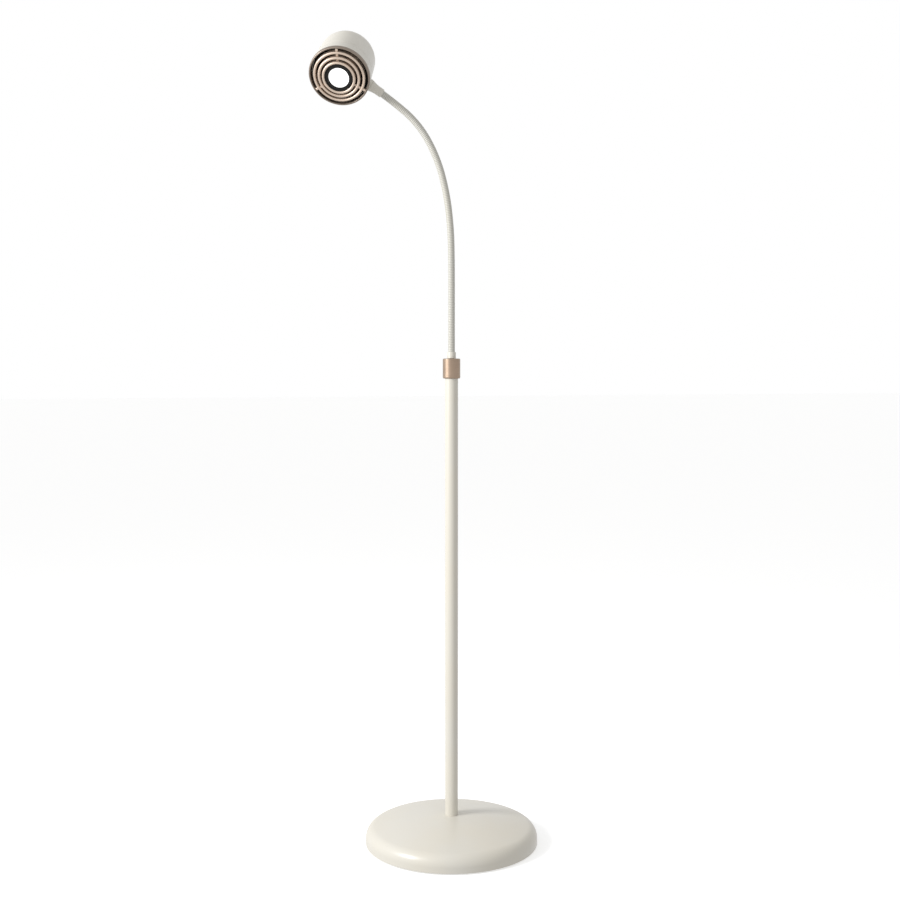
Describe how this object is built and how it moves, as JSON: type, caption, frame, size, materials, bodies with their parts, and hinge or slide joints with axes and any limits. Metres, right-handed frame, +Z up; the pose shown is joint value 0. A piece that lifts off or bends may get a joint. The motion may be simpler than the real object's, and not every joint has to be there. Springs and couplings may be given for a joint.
{
  "type": "adjustable arm floor lamp",
  "caption": "Floor lamp with a round domed weighted base, slim pole, swivel collar, bendable gooseneck arm and a small drum head with a concentric ring grille.",
  "frame": {"origin": "centre of the foot ring's resting face, on the pole's axis", "axes": "+Z up along the pole; the gooseneck bends in the XZ plane towards -X and the head faces down towards -Y; the cord entry is at +Y"},
  "size_m": [0.3362, 0.2569, 1.1734],
  "materials": {
    "cream_enamel": "satin cream enamel on sheet steel",
    "neck_cream": "satin cream enamel on a wound steel gooseneck",
    "bronze": "satin bronze lacquer",
    "cast_iron": "raw casting",
    "steel": "zinc plated",
    "black_rubber": "matt",
    "black_plastic": "moulded",
    "nylon": "natural nylon",
    "lead_jacket": "soft white cable jacket",
    "black_enamel": "matt black, heat resistant",
    "reflector": "bright vapour-coated bowl",
    "frosted_glass": "frosted",
    "clear_glass": "clear quartz",
    "ceramic": "unglazed ceramic",
    "switch_cream": "cream moulded plastic"
  },
  "bodies": {
    "stand": {"base_cover": "cream_enamel", "base_weight": "cast_iron", "base_plate": "steel", "foot_ring": "black_rubber", "plate_screws": "steel", "cord_grommet": "black_rubber", "transformer": "black_plastic", "transformer_screws": "steel", "terminal_block": "nylon", "pole": "cream_enamel", "pole_insert": "steel", "pole_stud": "steel", "stud_washer": "steel", "stud_nut": "steel", "pole_lead": "lead_jacket", "collar": "bronze", "collar_set_screw": "steel", "collar_bush": "nylon"},
    "neck_1": {"neck_socket": "cream_enamel", "swivel_washer": "nylon", "swivel_clip": "steel", "neck_section_1": "neck_cream", "neck_lead_1": "lead_jacket"},
    "neck_2": {"neck_section_2": "neck_cream", "neck_lead_2": "lead_jacket"},
    "neck_3": {"neck_section_3": "neck_cream", "neck_lead_3": "lead_jacket"},
    "neck_4": {"neck_section_4": "neck_cream", "neck_lead_4": "lead_jacket"},
    "neck_5": {"neck_section_5": "neck_cream", "neck_lead_5": "lead_jacket"},
    "neck_6": {"neck_section_6": "neck_cream", "neck_lead_6": "lead_jacket"},
    "neck_7": {"neck_section_7": "neck_cream", "neck_lead_7": "lead_jacket"},
    "neck_8": {"neck_section_8": "neck_cream", "neck_lead_8": "lead_jacket", "neck_cone": "cream_enamel", "head_stud": "steel", "head_washer": "steel", "head_nut": "steel"},
    "head": {"head_rear_shell": "cream_enamel", "head_front_shell": "cream_enamel", "grille": "bronze", "lamp_carrier": "black_enamel", "lamp_retainer": "black_enamel", "lamp_reflector": "reflector", "lamp_glass": "frosted_glass", "lamp_capsule": "clear_glass", "lamp_pins": "steel", "lampholder": "ceramic", "lampholder_bracket": "steel", "bracket_screws": "steel", "head_wires": "lead_jacket", "switch_body": "black_plastic", "switch_nut": "steel"},
    "switch": {"switch_button": "switch_cream"}
  },
  "joints": [
    {"name": "arm_swivel", "type": "hinge", "parent": "stand", "child": "neck_1", "pos_m": [0, 0, 0.71885], "axis": [0, 0, 1], "range_deg": [-170, 170]},
    {"name": "neck_bend_1", "type": "hinge", "parent": "neck_1", "child": "neck_2", "pos_m": [0, 0, 0.77125], "axis": [0, -1, 0], "range_deg": [-24, 24]},
    {"name": "neck_bend_2", "type": "hinge", "parent": "neck_2", "child": "neck_3", "pos_m": [0, 0, 0.82365], "axis": [0, -1, 0], "range_deg": [-24, 24]},
    {"name": "neck_bend_3", "type": "hinge", "parent": "neck_3", "child": "neck_4", "pos_m": [-0.00046, 0, 0.87605], "axis": [0, -1, 0], "range_deg": [-24, 24]},
    {"name": "neck_bend_4", "type": "hinge", "parent": "neck_4", "child": "neck_5", "pos_m": [-0.00411, 0, 0.9283], "axis": [0, -1, 0], "range_deg": [-24, 24]},
    {"name": "neck_bend_5", "type": "hinge", "parent": "neck_5", "child": "neck_6", "pos_m": [-0.01455, 0, 0.97959], "axis": [0, -1, 0], "range_deg": [-24, 24]},
    {"name": "neck_bend_6", "type": "hinge", "parent": "neck_6", "child": "neck_7", "pos_m": [-0.03538, 0, 1.02751], "axis": [0, -1, 0], "range_deg": [-24, 24]},
    {"name": "neck_bend_7", "type": "hinge", "parent": "neck_7", "child": "neck_8", "pos_m": [-0.07023, 0, 1.06621], "axis": [0, -1, 0], "range_deg": [-24, 24]},
    {"name": "head_turn", "type": "hinge", "parent": "neck_8", "child": "head", "pos_m": [-0.15822, 0, 1.12228], "axis": [-0.8572, 0, 0.515], "range_deg": [-165, 165]},
    {"name": "switch_press", "type": "slide", "parent": "head", "child": "switch", "axis": [-0.3705, -0.6947, -0.6166], "range_m": [0, 0.002], "stiffness_N_per_m": 900, "springref_m": -0.001}
  ]
}
